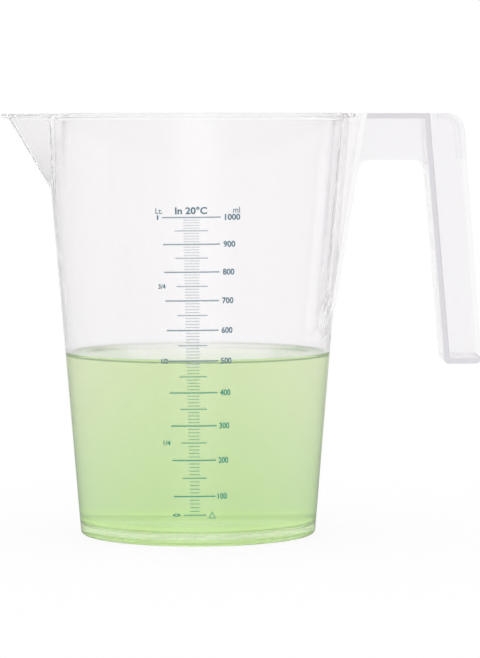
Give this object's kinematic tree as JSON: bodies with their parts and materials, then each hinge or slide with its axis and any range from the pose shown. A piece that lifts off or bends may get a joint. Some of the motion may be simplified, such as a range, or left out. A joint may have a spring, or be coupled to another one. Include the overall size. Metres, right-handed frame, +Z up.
{
  "type": "measuring beaker with handle",
  "caption": "Translucent polypropylene measuring beaker with a pouring spout, an open channel handle and a printed millilitre scale.",
  "frame": {"origin": "centre of the face that the beaker stands on, on the axis of the cup", "axes": "+Z up along the axis of the cup, +X towards the handle, -Y towards the printed scale"},
  "size_m": [0.191, 0.1272, 0.168],
  "materials": {
    "polypropylene": "gloss",
    "ink": "satin",
    "green_liquid": "clear"
  },
  "bodies": {
    "root": {"foot_ring": "polypropylene", "cup_floor": "polypropylene", "cup_wall": "polypropylene", "rim_flange": "polypropylene", "pour_spout": "polypropylene", "handle_root": "polypropylene", "handle_arm": "polypropylene", "handle_grip": "polypropylene", "major_lines": "ink", "medium_lines": "ink", "minor_lines": "ink"}
  },
  "joints": []
}
